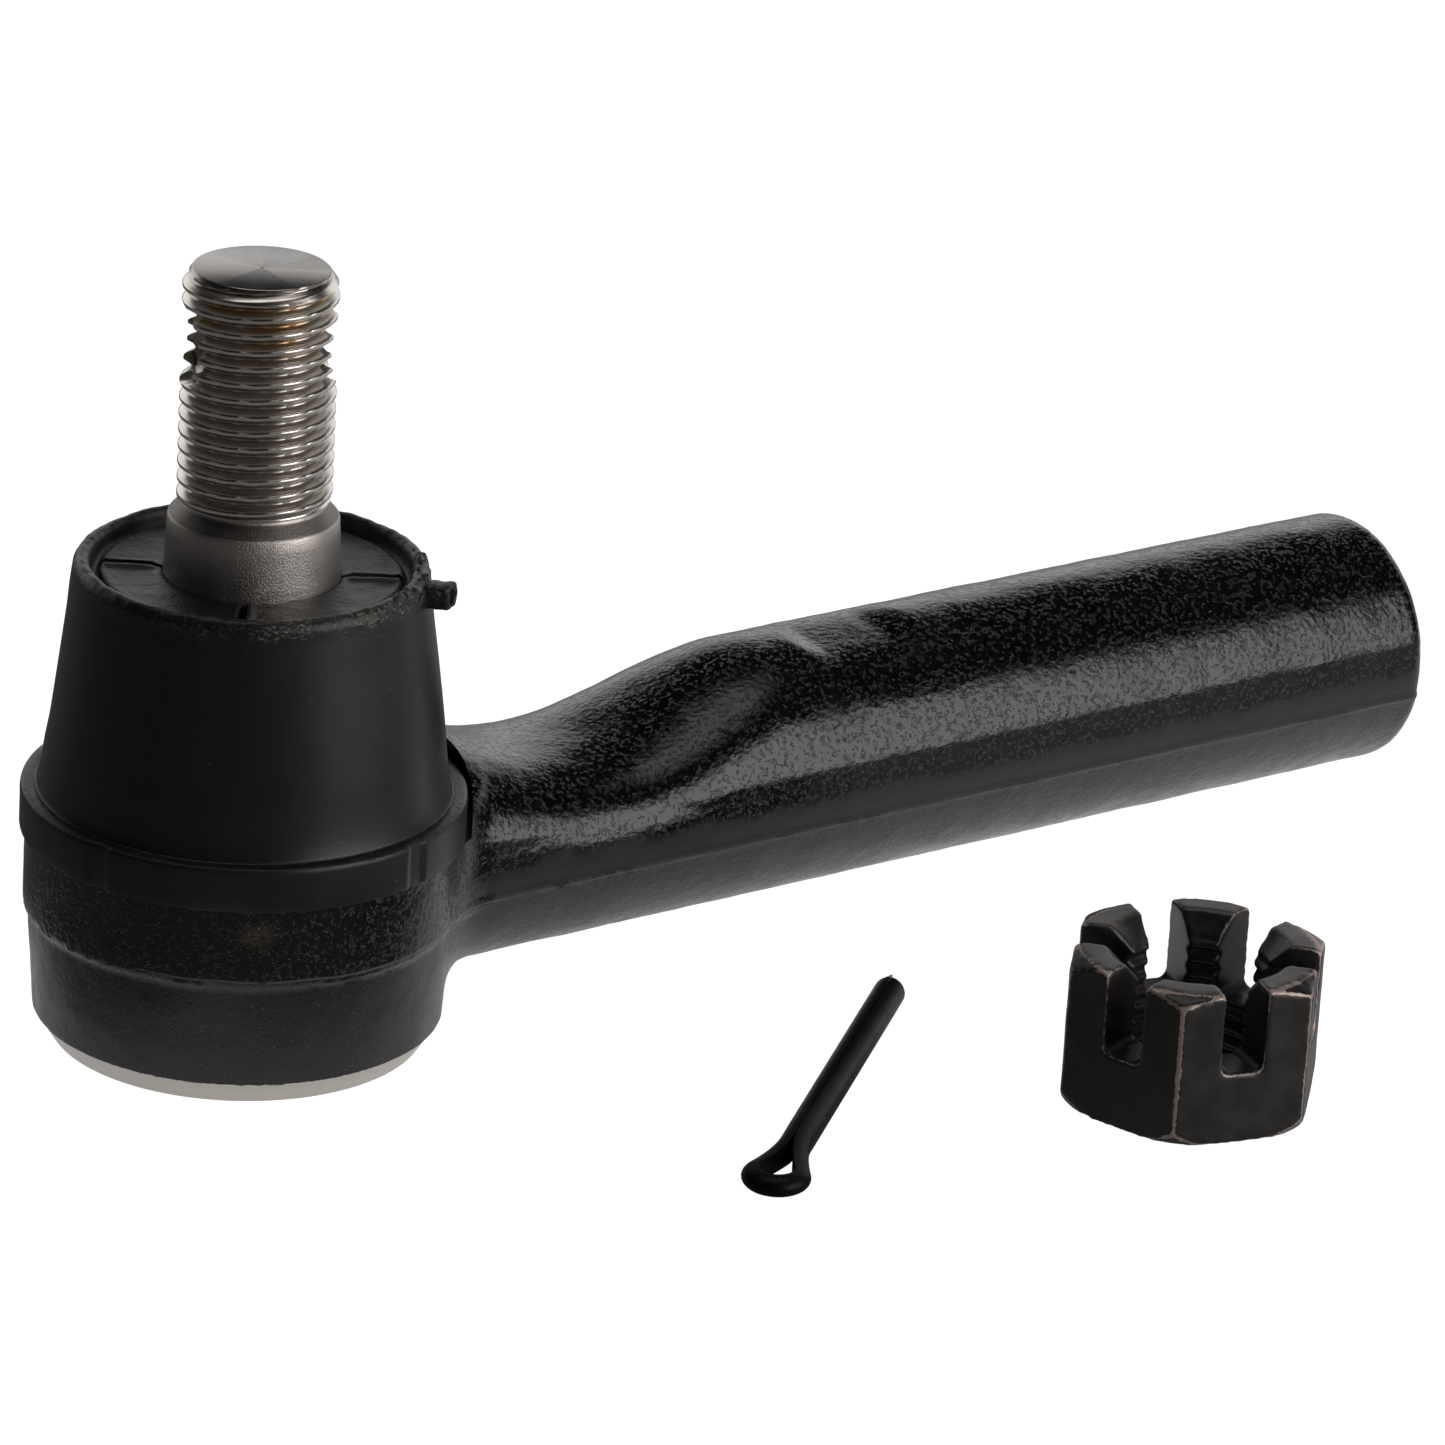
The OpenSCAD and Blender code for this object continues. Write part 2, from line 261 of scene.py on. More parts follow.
ball_middle = frame["joints"][0]["pos_m"][2] / MM
shank_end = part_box("housing")[1].x / MM
seat_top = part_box("upper_seat")[1].z / MM
collar_top = seat_top + 4.2
boot_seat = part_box("boot_base")[0].z / MM
cavity_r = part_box("lower_seat")[1].x / MM + 0.05
plug_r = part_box("closing_plug")[1].x / MM
plug_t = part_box("closing_plug")[1].z / MM
shank_r = 12.2
foot_r = 18.5
socket_r = 19.3
band_r = 19.7
band_low = boot_seat - 7.5
base_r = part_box("boot_base")[1].x / MM
bevel_r = 17.05
bevel_h = 2.3
scoop_r = 20.0
scoop_x = 33.0
scoop_floor = 22.0
scoop_soft = 7.5
root_fillet = 3.2
dent_from = 56.0
dent_to = 76.0
dent_flat = 11.4
dent_rise = 2.6
dent_tilt = math.radians(4)
bore_r = 7.19
bore_depth = 75.0
drill_point = math.radians(59)
tapped_to = 24.0
tap_height = 0.86
mouth_r = 12.65
seat_mouth_r = 10.9
tool_reach = 40
pitch = 1.5


def joined(a, b, soft):
    """Distance to two shapes run together over a fillet of about soft."""
    mix = np.clip(0.5 + 0.5 * (b - a) / soft, 0, 1)
    return b + (a - b) * mix - soft * mix * (1 - mix)


def both(a, b, soft):
    """Distance to what two shapes share, its edge rounded by about soft."""
    return -joined(-a, -b, soft)


def cut(a, tool, soft):
    """Distance to a shape with a tool taken out and the edge broken by about soft."""
    return -joined(-a, tool, soft)


def step(value, low, high):
    """0 below low and 1 above high, smooth between them."""
    t = np.clip((value - low) / (high - low), 0, 1)
    return t * t * (3 - 2 * t)


def forging(p):
    """Distance in mm from points to the forging as it leaves the dies."""
    x, y, z = p.T
    r = np.hypot(x, y)
    wall = foot_r + (socket_r - foot_r) * np.clip(z / band_low, 0, 1)
    wall = wall + (band_r - socket_r) * step(z, band_low - 0.35, band_low + 0.35)
    socket = np.maximum(r - wall, np.maximum(-1.0 - z, z - boot_seat - 1.5))
    height = z - ball_middle
    around = np.hypot(y, height)
    band = step(height, -2.7, -2.4) * (1 - step(height, 2.3, 2.9))
    ridge = np.exp(-((height + 2.55) / 0.22) ** 2) * 0.16
    flash = np.where(np.abs(y) > shank_r * 0.8, ridge - 0.12 * band, 0.0)
    shank = both(around - shank_r - flash, x - shank_end, 1.6)
    dented = step(x, dent_from, dent_from + 6) * (1 - step(x, dent_to - 7, dent_to))
    dent_up = dent_flat + dent_rise - dent_rise * dented
    dent = dent_up - height * math.cos(dent_tilt) + y * math.sin(dent_tilt)
    shank = cut(shank, dent, 0.9)
    neck = np.hypot(x - scoop_x, z - scoop_floor - scoop_r) - scoop_r
    shank = cut(shank, neck, scoop_soft)
    shank = np.maximum(shank, -x)
    return joined(socket, shank, root_fillet)


def skin(shape, low, high, cell):
    """A closed net of four-sided faces round the places where shape is below nought."""
    counts = [int(math.ceil((b - a) / cell)) + 1 for a, b in zip(low, high)]
    axes = [a + cell * np.arange(n) for a, n in zip(low, counts)]
    grid = np.stack(np.meshgrid(*axes, indexing="ij"), -1)
    value = shape(grid.reshape(-1, 3)).reshape(counts)
    inside = value < 0
    corners = [(i, j, k) for i in (0, 1) for j in (0, 1) for k in (0, 1)]
    windows = [
        tuple(slice(c, n - 1 + c) for c, n in zip(corner, counts)) for corner in corners
    ]
    filled = sum(inside[w].astype(int) for w in windows)
    mixed = (filled > 0) & (filled < 8)
    cells = np.argwhere(mixed)
    number = np.full(mixed.shape, -1)
    number[mixed] = np.arange(len(cells))
    total = np.zeros((len(cells), 3))
    hits = np.zeros(len(cells))
    for corner in corners:
        for axis in range(3):
            if corner[axis]:
                continue
            unit = np.eye(3, dtype=int)[axis]
            here = value[tuple((cells + corner).T)]
            there = value[tuple((cells + corner + unit).T)]
            crossed = (here < 0) != (there < 0)
            share = here[crossed] / (here - there)[crossed]
            total[crossed] += (cells + corner)[crossed] + share[:, None] * unit
            hits[crossed] += 1
    points = np.array(low) + cell * total / hits[:, None]
    faces = []
    for axis in range(3):
        u, v = np.eye(3, dtype=int)[(axis + 1) % 3], np.eye(3, dtype=int)[(axis + 2) % 3]
        first = np.take(inside, range(counts[axis] - 1), axis)
        second = np.take(inside, range(1, counts[axis]), axis)
        ends = np.argwhere(first != second)
        quad = [number[tuple((ends - a).T)] for a in (u + v, v, 0 * u, u)]
        quad = np.stack(quad, 1)
        outward = first[tuple(ends.T)]
        faces.append(quad[outward])
        faces.append(quad[~outward][:, ::-1])
    return points, np.concatenate(faces)


def slope(shape, points, reach=0.02):
    """Which way the distance grows at each point."""
    rise = [
        shape(points + reach * unit) - shape(points - reach * unit) for unit in np.eye(3)
    ]
    return np.stack(rise, 1) / (2 * reach)


def settle(points, shape, rounds=4):
    """Moves points onto a shape's surface."""
    for _ in range(rounds):
        away = slope(shape, points)
        steep = np.maximum((away * away).sum(1), 0.25)
        move = shape(points) / steep
        points = points - np.clip(move, -0.3, 0.3)[:, None] * away
    return points


def roughened(points, away, size, height):
    """Points pushed in and out by noise of one size and height, in mm."""
    push = [noise.noise(Vector(p) / size) for p in points]
    return points + np.array(push)[:, None] * height * away


def solid(name, points, faces):
    """A mesh object in metres from points in mm."""
    mesh = bpy.data.meshes.new(name)
    if isinstance(faces, np.ndarray):
        faces = faces.tolist()
    mesh.from_pydata((np.asarray(points) * MM).tolist(), [], faces)
    piece = bpy.data.objects.new(name, mesh)
    bpy.context.scene.collection.objects.link(piece)
    return piece


def turned(name, outline, sides):
    """A closed solid of revolution from (radius, height) points, up its outside.
    The outline starts and ends on the axis, or closes on itself as a ring."""
    outline = np.asarray(outline, float)
    solid_ends = outline[0, 0] < 1e-6 and outline[-1, 0] < 1e-6
    rows = outline[1:-1] if solid_ends else outline
    angle = np.arange(sides) * 2 * np.pi / sides
    r, z = rows[:, 0][:, None], rows[:, 1][:, None]
    grid = np.stack([r * np.cos(angle), r * np.sin(angle), z + 0 * angle], -1)
    points = grid.reshape(-1, 3)
    first = np.arange(sides)
    second = np.roll(first, -1)
    faces = []
    count = len(rows)
    for row in range(count - 1 if solid_ends else count):
        a, b = row * sides, (row + 1) % count * sides
        faces += np.stack([a + first, a + second, b + second, b + first], 1).tolist()
    if solid_ends:
        low, high = len(points), len(points) + 1
        points = np.concatenate([points, [[0, 0, outline[0, 1]], [0, 0, outline[-1, 1]]]])
        last = (count - 1) * sides
        faces += [[low, int(b), int(a)] for a, b in zip(first, second)]
        faces += [[high, int(last + a), int(last + b)] for a, b in zip(first, second)]
    return solid(name, points, faces)


def plain_mesh(piece):
    """Turns a piece with modifiers into its plain result."""
    result = bpy.data.meshes.new_from_object(
        piece.evaluated_get(bpy.context.evaluated_depsgraph_get())
    )
    piece.modifiers.clear()
    piece.data = result


def bored(piece, tool, operation="DIFFERENCE"):
    """Takes a tool out of a piece, or joins it on, and throws the tool away."""
    boolean = piece.modifiers.new("cut", "BOOLEAN")
    boolean.object = tool
    boolean.operation = operation
    boolean.solver = "MANIFOLD"
    plain_mesh(piece)
    bpy.data.objects.remove(tool)


def smoothed(piece, angle=32):
    """Smooth shading, kept sharp at the piece's real edges."""
    piece.data.shade_smooth()
    piece.data.set_sharp_from_angle(angle=math.radians(angle))


def thread_tree():
    """Rolls a thread into a shaft that stands on the Z axis, about its middle.
    Crests stay at the crest radius; flanks and roots are pushed in below it."""
    tree = bpy.data.node_groups.new("rolled_thread", "GeometryNodeTree")
    face = tree.interface
    face.new_socket("Geometry", in_out="INPUT", socket_type="NodeSocketGeometry")
    for name in ("Pitch", "Depth", "Crest radius", "Start", "Run out"):
        face.new_socket(name, in_out="INPUT", socket_type="NodeSocketFloat")
    face.new_socket("Material", in_out="INPUT", socket_type="NodeSocketMaterial")
    face.new_socket("Geometry", in_out="OUTPUT", socket_type="NodeSocketGeometry")
    given = tree.nodes.new("NodeGroupInput")
    size = {s.name: Wire(tree, s) for s in given.outputs}
    place = Wire(tree, tree.nodes.new("GeometryNodeInputPosition").outputs[0])
    x, y, z = (place.part(axis) for axis in "XYZ")
    radius = (x * x + y * y) ** 0.5
    turn = y.sum("ARCTAN2", y, x) / (2 * math.pi)
    along = (z - size["Start"]) / size["Pitch"] - turn
    wave = along.sum("FRACT", along) * 2 - 1
    tooth = wave.distance().rise(0.08, 0.84)
    reach = z.node(
        "ShaderNodeMapRange", {"interpolation_type": "SMOOTHSTEP"}, Value=z,
        From_Min=size["Start"], From_Max=size["Start"] + size["Run out"],
    )
    limit = size["Crest radius"] - size["Depth"] * reach * (1 - tooth)
    wanted = radius.sum("MINIMUM", radius, limit)
    threaded = z.sum("GREATER_THAN", z, size["Start"])
    share = threaded * (wanted / radius.sum("MAXIMUM", radius, 1e-6) - 1) + 1
    moved = x.node("ShaderNodeCombineXYZ", X=x * share, Y=y * share, Z=z)
    shifted = moved.node("GeometryNodeSetPosition", Geometry=size["Geometry"], Position=moved)
    real = shifted.node("GeometryNodeRealizeInstances", Geometry=shifted)
    painted = real.node("GeometryNodeSetMaterial", Geometry=real, Material=size["Material"])
    result = tree.nodes.new("NodeGroupOutput")
    tree.links.new(painted.socket, result.inputs[0])
    return tree


thread_maker = thread_tree()


def shaped_by(piece, tree, **inputs):
    """Runs a Geometry Nodes tree on a piece and keeps the plain mesh that it makes."""
    made = piece.modifiers.new(tree.name, "NODES")
    made.node_group = tree
    for item in tree.interface.items_tree:
        name = item.name.replace(" ", "_")
        if item.in_out == "INPUT" and name in inputs:
            made[item.identifier] = inputs[name]
    piece.data.update()
    plain_mesh(piece)


def gloss_paint():
    """Gloss black over leathery scale, satin on the trimmed band, bare on the bevel."""
    material, shader, spot = finish("gloss_paint", Specular_IOR_Level=0.5)
    x, y, z = (spot.part(axis) * (1 / MM) for axis in "XYZ")
    r = (x * x + y * y) ** 0.5
    above = z - ball_middle
    wander = spot.grain(6 * MM, 3.0) - 0.5
    on_shank = r.rise(21.0, 24.0)
    sideways = y.distance().rise(shank_r * 0.78, shank_r * 0.86)
    band = (1 - (above + wander * 3.0).rise(-0.6, 1.2)) * (above + wander * 0.6).rise(-2.75, -2.5)
    band = band * on_shank * sideways
    lower = (1 - (z + wander * 2.0).rise(11.4, 12.4)) * (1 - on_shank)
    calm = band + lower * 0.6
    under = (above * -1).rise(2.3, 3.2) * on_shank
    off_seam = (above + 2.62 + wander * 0.5).distance()
    seam = (1 - off_seam.rise(0.04, 0.17)) * sideways * spot.grain(2 * MM, 3.0).rise(0.28, 0.46)
    bevel_line = bevel_r + z * ((foot_r - bevel_r + 0.05) / bevel_h)
    off_bevel = (r - bevel_line).distance()
    ragged = z + (spot.grain(0.7 * MM, 3.0) - 0.5) * 0.5
    bare = (1 - off_bevel.rise(0.04, 0.12)) * (1 - ragged.rise(2.12, 2.2))
    foot = (1 - z.rise(0.02, 0.08)) * (1 - r.rise(bevel_r, bevel_r + 0.2))
    bare = (bare + foot).sum("MINIMUM", bare + foot, 1.0)
    leather = spot.grain(0.62 * MM, 4.0, 0.55)
    pocks = spot.node(
        "ShaderNodeTexVoronoi", {"feature": "SMOOTH_F1"}, Vector=spot, Scale=1 / (0.6 * MM),
        Smoothness=0.7,
    )
    pits = spot.grain(0.5 * MM, 3.0, 0.6).rise(0.55, 0.64)
    scale = (leather * 1.25 + pocks * 0.4 - pits * 0.5) * (1 - calm * 0.85)
    fine = spot.grain(0.16 * MM, 2.0) * (calm * 0.10 + 0.07)
    lathe = spot.stretched(0, 0, 1).grain(0.09 * MM, 2.0) * 0.16
    height_map = bare.node(
        "ShaderNodeMix", {"data_type": "FLOAT"}, n0=bare, n2=scale + fine, n3=lathe,
    )
    bump = height_map.node("ShaderNodeBump", Distance=0.05 * MM, Height=height_map)
    dust = spot.grain(0.2 * MM, 1.0).rise(0.72, 0.78) * spot.grain(4 * MM).rise(0.42, 0.6)
    dust = dust * (1 - on_shank * 0.85) * (1 - z.rise(boot_seat, boot_seat + 0.5))
    grease_turn, grease_height = math.radians(242), 17.2
    grease_x = x - band_r * math.cos(grease_turn)
    grease_y = y - band_r * math.sin(grease_turn)
    grease_z = (z - grease_height) * 1.5
    away = (grease_x * grease_x + grease_y * grease_y + grease_z * grease_z) ** 0.5
    strands = spot.stretched(1, 1, 2.5).grain(0.5 * MM, 4.0, 0.7)
    grease = (1 - (away + (strands - 0.5) * 9).rise(1.0, 2.4)) * strands.rise(0.35, 0.6)
    smudge = spot.grain(4 * MM, 4.0).rise(0.42, 0.62)
    satin = 0.11 + calm * 0.30 + under * 0.14 + smudge * 0.07
    satin = satin + dust * 0.3 + grease * 0.3 + seam * 0.2
    steel_grain = spot.stretched(0, 0, 1).grain(0.25 * MM, 4.0)
    steel = steel_grain.between((0.44, 0.41, 0.375, 1), (0.66, 0.62, 0.575, 1))
    black = calm.between((0.0032, 0.0032, 0.0034, 1), (0.014, 0.014, 0.014, 1))
    black = under.between(black, (0.015, 0.0125, 0.0105, 1))
    black = seam.between(black, (0.075, 0.07, 0.064, 1))
    black = grease.between(black, (0.055, 0.043, 0.024, 1))
    black = dust.between(black, (0.22, 0.21, 0.18, 1))
    wire_up(
        shader,
        Base_Color=bare.between(black, steel),
        Metallic=bare,
        Roughness=satin * (1 - bare) + bare * 0.38,
        Normal=bump,
    )
    return material


grid_margin = 1.5
low_corner = (-band_r - grid_margin, -band_r - grid_margin, -2.0)
high_corner = (
    shank_end + grid_margin, band_r + grid_margin, ball_middle + shank_r + grid_margin,
)
points, faces = skin(forging, low_corner, high_corner, 0.5)
points = settle(points, forging)
away = slope(forging, points)
away /= np.maximum(np.linalg.norm(away, axis=1), 1e-6)[:, None]
points = roughened(points, away, 5.0, 0.07)
points = roughened(points, away, 1.6, 0.035)
housing = solid("socket_and_shank", points, faces)

foot_tool = turned("foot_tool", [
    (0, -3), (tool_reach, -3), (tool_reach, bevel_h + 0.02), (foot_r + 0.02, bevel_h + 0.02),
    (bevel_r, 0), (0, 0),
], 256)
bored(housing, foot_tool)
collar_r = cavity_r + 3.1
seat_tool = turned("seat_tool", [
    (0, boot_seat), (base_r + 0.5, boot_seat), (base_r + 0.5, tool_reach), (0, tool_reach),
], 192)
bored(housing, seat_tool)
collar = turned("collar", [
    (0, boot_seat - 3), (collar_r, boot_seat - 3), (collar_r, collar_top - 0.5),
    (collar_r - 0.5, collar_top), (0, collar_top),
], 192)
bored(housing, collar, "UNION")
cavity_tool = turned("cavity_tool", [
    (0, -4), (plug_r - 1.2, -4), (plug_r - 1.2, 0), (plug_r + 0.05, 1.25), (plug_r + 0.05, plug_t),
    (cavity_r, plug_t), (cavity_r, seat_top), (seat_mouth_r, seat_top), (mouth_r, collar_top),
    (mouth_r, collar_top + 4), (0, collar_top + 4),
], 160)
bored(housing, cavity_tool)
tap_r = bore_r + tap_height
tap_rows = [(0, 0), (tap_r, 0)]
tap_rows += [(tap_r, z) for z in np.arange(0.15, tapped_to + 0.01, pitch / 8)]
tap_rows += [(bore_r, tapped_to + 0.4), (bore_r, bore_depth)]
tap_rows += [(0, bore_depth + bore_r / math.tan(drill_point))]
tap = turned("tap", tap_rows, 72)
shaped_by(
    tap, thread_maker, Pitch=pitch * MM, Depth=tap_height * MM, Crest_radius=tap_r * MM,
    Start=0.1 * MM, Run_out=0.1 * MM,
)
along_shank = Matrix.Translation(Vector((shank_end, 0, ball_middle)) * MM) @ (
    Matrix.Rotation(math.radians(-90), 4, "Y")
)
tap.data.transform(along_shank)
bored(housing, tap)
countersink = turned("countersink", [
    (0, -1), (bore_r + 1.9, -1), (bore_r - 0.2, 1.1), (0, 1.1),
], 96)
countersink.data.transform(along_shank)
bored(housing, countersink)
housing.data.materials.clear()
housing.data.materials.append(gloss_paint())
smoothed(housing)
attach(housing, "socket")
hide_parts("housing")

# -------------------- inside the socket
# A steel plug, held by the socket's rolled-over lip, presses a dished spring against
# the lower of two turned acetal seats. All of them go in from below, after the ball.

plug_rim = plug_r - 1.22


def dressed(node, material):
    """Gives one of the plain pieces its finish."""
    for place in frame["nodes"][node].material_slots:
        place.material = material


def thin_finish(name, dark, light, rough, grain_size):
    """Steel under a thin finish, faintly blotched and fine-grained."""
    material, shader, spot = finish(name, Metallic=1.0)
    blotch = spot.grain(3.5 * MM, 4.0)
    grain = spot.grain(grain_size, 3.0)
    wire_up(
        shader,
        Base_Color=(blotch * 0.6 + grain * 0.4).rise(0.35, 0.65).between(dark, light),
        Roughness=blotch * 0.16 + (rough - 0.08),
        Normal=grain.node("ShaderNodeBump", Distance=0.02 * MM, Height=grain),
    )
    return material


closing_plug = turned("closing_plug_disc", [
    (0, 0.5), (5.2, 0.5), (5.8, 0.42), (6.6, 0.06), (7.2, 0), (plug_rim - 0.15, 0),
    (plug_rim, 0.05), (plug_r - 0.05, 1.2), (plug_r, 1.35), (plug_r, plug_t), (0, plug_t),
], 128)
closing_plug.data.materials.append(
    thin_finish("plug_phosphate", (0.05, 0.05, 0.052, 1), (0.11, 0.108, 0.105, 1), 0.5, 0.25 * MM)
)
smoothed(closing_plug, 40)
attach(closing_plug, "socket")
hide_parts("closing_plug")

dressed("dish_spring", thin_finish(
    "spring_blueing", (0.10, 0.12, 0.17, 1), (0.24, 0.25, 0.28, 1), 0.34, 0.3 * MM,
))


def seat_acetal():
    """Off-white acetal with the lathe's fine rings and a film of amber grease."""
    material, shader, spot = finish("greased_acetal", Subsurface_Weight=0.1)
    rings = spot.stretched(0, 0, 1).grain(0.12 * MM, 2.0)
    grease = spot.grain(4 * MM, 3.0).rise(0.48, 0.6)
    wire_up(
        shader,
        Base_Color=grease.between((0.78, 0.76, 0.68, 1), (0.62, 0.5, 0.27, 1)),
        Roughness=0.42 - grease * 0.2,
        Normal=rings.node("ShaderNodeBump", Distance=0.01 * MM, Height=rings),
    )
    return material


acetal = seat_acetal()
dressed("lower_seat", acetal)
dressed("upper_seat", acetal)

# -------------------- the ball stud
# Ball, neck, taper and threaded end are one steel forging. The ball is ground, the
# taper is turned to a satin finish, the thread is rolled, and the pin's hole drilled.

ball_r = 12.0
ball_flat = math.radians(180 - 28.4)
neck_r = 6.0
stud_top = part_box("ball_stud")[1].z / MM
taper_top = stud_top - 23.0
taper_top_r = 7.68
taper_len = 13.1
taper_rate = 0.05
taper_r = taper_top_r + taper_rate * taper_len
relief_r = 6.45
thread_r = 6.95
thread_from = taper_top + 1.5
thread_depth = 0.9
pin_hole_z = stud_top - 6.8
pin_hole_r = 1.8
pin_sink_r = 3.9
pin_sink_depth = 2.6
pin_hole_turn = math.radians(-24)
# Painted reflection: the turn towards the camera that the end face's painted sectors are laid round.
painted_sheen_turn = math.radians(234)


def placed(piece, turn, x, z):
    """Moves a piece's mesh out along X by x and up by z, then round by a turn."""
    piece.data.transform(
        Matrix.Rotation(turn, 4, "Z") @ Matrix.Translation(Vector((x, 0, z)) * MM)
    )
    return piece


def stud_steel():
    """Grey steel: oily on the thread, satin and pitted on the taper, faced on its end, with a
    painted dark band of shade above the taper and painted sectors of reflection on the end.
    """
    material, shader, spot = finish("stud_steel", Metallic=1.0)
    x, y, z = (spot.part(axis) * (1 / MM) for axis in "XYZ")
    r = (x * x + y * y) ** 0.5
    threaded = z.rise(taper_top + 1.3, taper_top + 1.6)
    faced = z.rise(stud_top - 0.04, stud_top - 0.01)
    root = 1 - r.rise(thread_r - 0.8, thread_r - 0.35)
    oily = root * z.rise(64, 69) * (1 - z.rise(70.6, 71.4)) * spot.grain(3 * MM).rise(0.3, 0.6)
    blotch = spot.grain(2.6 * MM, 4.0)
    rings = spot.stretched(0.04, 0.04, 1).grain(0.12 * MM, 3.0)
    pits = spot.grain(0.14 * MM, 2.0).rise(0.42, 0.62)
    faint = spot.grain(0.05 * MM, 2.0)
    satin = blotch.between((0.44, 0.405, 0.385, 1), (0.62, 0.575, 0.55, 1))
    rolled = blotch.between((0.62, 0.58, 0.54, 1), (0.84, 0.79, 0.74, 1))
    # Painted shade: the chamfer and relief just above the taper are darkened.
    painted_shade_band = z.rise(taper_top + 0.04, taper_top + 0.2)
    painted_shade_band = painted_shade_band * (1 - z.rise(taper_top + 1.15, taper_top + 1.35))
    colour = threaded.between(satin, rolled)
    colour = (root * threaded * 0.5).between(colour, (0.12, 0.10, 0.085, 1))
    colour = (painted_shade_band * 0.75).between(colour, (0.09, 0.08, 0.07, 1))
    colour = (oily * 0.75).between(colour, (0.42, 0.25, 0.07, 1))
    dot = 1 - r.rise(0.12, 0.2)
    out = r.sum("MAXIMUM", r, 0.01)
    # Painted reflection: light and dark sectors on the end face, laid round the turn towards the
    # camera.
    nearer = (x * math.cos(painted_sheen_turn) + y * math.sin(painted_sheen_turn)) / out
    aside = (y * math.cos(painted_sheen_turn) - x * math.sin(painted_sheen_turn)) / out
    painted_dark_wedge = nearer.rise(0.80, 0.84) + (1 - nearer.rise(-0.62, -0.5)) * 0.5
    painted_sheen_sector = 1 - painted_dark_wedge * 0.8 - (1 - nearer.rise(-0.1, 0.0)) * aside.rise(-0.1, 0.1) * 0.3
    end = (painted_sheen_sector * 0.7 + blotch * 0.3).between((0.12, 0.11, 0.10, 1), (0.34, 0.32, 0.30, 1))
    colour = faced.between(colour, end)
    colour = (dot * faced).between(colour, (0.02, 0.018, 0.016, 1))
    turning = r.node("ShaderNodeCombineXYZ", X=r * MM).grain(0.06 * MM, 2.0)
    relief = pits * (1 - threaded) * 0.75 + rings * 0.4 + faint * 0.12
    relief = relief * (1 - faced) + turning * faced * 0.3
    wire_up(
        shader,
        Base_Color=colour,
        Roughness=(blotch * 0.14 + 0.30) * (1 - threaded) + (blotch * 0.14 + 0.17) * threaded,
        Normal=relief.node("ShaderNodeBump", Distance=0.02 * MM, Height=relief),
    )
    return material


steel_of_stud = stud_steel()
ball_arc = np.linspace(ball_flat, math.radians(33), 56)
stud_rows = [(0, ball_middle + ball_r * math.cos(ball_flat))]
stud_rows += [(ball_r * math.sin(a), ball_middle + ball_r * math.cos(a)) for a in ball_arc]
stud_rows += [(neck_r + 0.1, ball_middle + 10.9), (neck_r, ball_middle + 11.7)]
stud_rows += [(neck_r, ball_middle + 12.5), (taper_r - 0.1, taper_top - taper_len - 0.4)]
stud_rows += [(taper_r, taper_top - taper_len)]
taper_heights = np.linspace(37.5, taper_top - 0.15, 12)
stud_rows += [(taper_top_r + taper_rate * (taper_top - z), z) for z in taper_heights]
stud_rows += [(taper_top_r - 0.08, taper_top + 0.05), (taper_top_r - 0.4, taper_top + 0.4)]
stud_rows += [(6.62, taper_top + 1.14), (relief_r, taper_top + 1.35), (relief_r, thread_from)]
rows_a_turn = 16
thread_rows = np.arange(thread_from + 0.25, stud_top - 1.25, pitch / rows_a_turn)
stud_rows += [(thread_r - 0.3, thread_from + 0.12)]
stud_rows += [(thread_r, z) for z in thread_rows]
stud_rows += [(thread_r - 0.85 * t, stud_top - 1.2 + 1.17 * t) for t in np.linspace(0, 1, 12)]
stud_rows += [(thread_r - 0.93, stud_top), (0, stud_top)]
ball_stud = turned("ball_stud_forging", stud_rows, 160)
shaped_by(
    ball_stud, thread_maker, Pitch=pitch * MM, Depth=thread_depth * MM,
    Crest_radius=thread_r * MM,
    Start=(thread_from - 0.2) * MM, Run_out=1.5 * MM, Material=steel_of_stud,
)
drill_side = [
    (0, thread_r + 1), (pin_sink_r, thread_r + 1), (pin_sink_r - 0.25, thread_r - 1.5),
    (pin_hole_r, thread_r - pin_sink_depth),
]
drill = turned("drill", [(r, -z) for r, z in drill_side] + drill_side[::-1], 64)
drill.data.transform(Matrix.Rotation(math.radians(90), 4, "Y"))
bored(ball_stud, placed(drill, pin_hole_turn, 0, pin_hole_z))
smoothed(ball_stud, 40)
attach(ball_stud, "stud")
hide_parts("ball_stud")

# -------------------- the dust boot
# Black rubber, moulded round a steel ring that is pressed on the socket's collar, with
# a second ring in the lip that holds the stud. It bends when the stud leans. Its wall is
# made as two lengths between the base, which stays, and the crown, which swings; the two
# lengths are not attached to either.

wall_t = 1.8
wall_low = 26.2
wall_half = 35.0
crown_low = 42.6
rim_z = boot_seat + 25.7
disc_z = rim_z - 1.1
band_top = boot_seat + 4.1
slit_x = 10.5
slit_len = 6.0
slit_turns = [math.radians(54 + 90 * k) for k in range(4)]
notch_turns = [math.radians(-72 + 90 * k) for k in range(4)]
nub_turn = math.radians(-43)
boot_sides = 384


def boot_wall(z):
    """Outer radius of the boot's wall at a height: nearly a cone, flared at its foot."""
    return 18.0 - 0.125 * (z - 28.0) + 0.14 * math.exp(-(z - 24.0) / 0.8)


def lip(z):
    """Radius of the lip round the stud's taper."""
    return taper_top_r + taper_rate * (taper_top - z) + 0.02


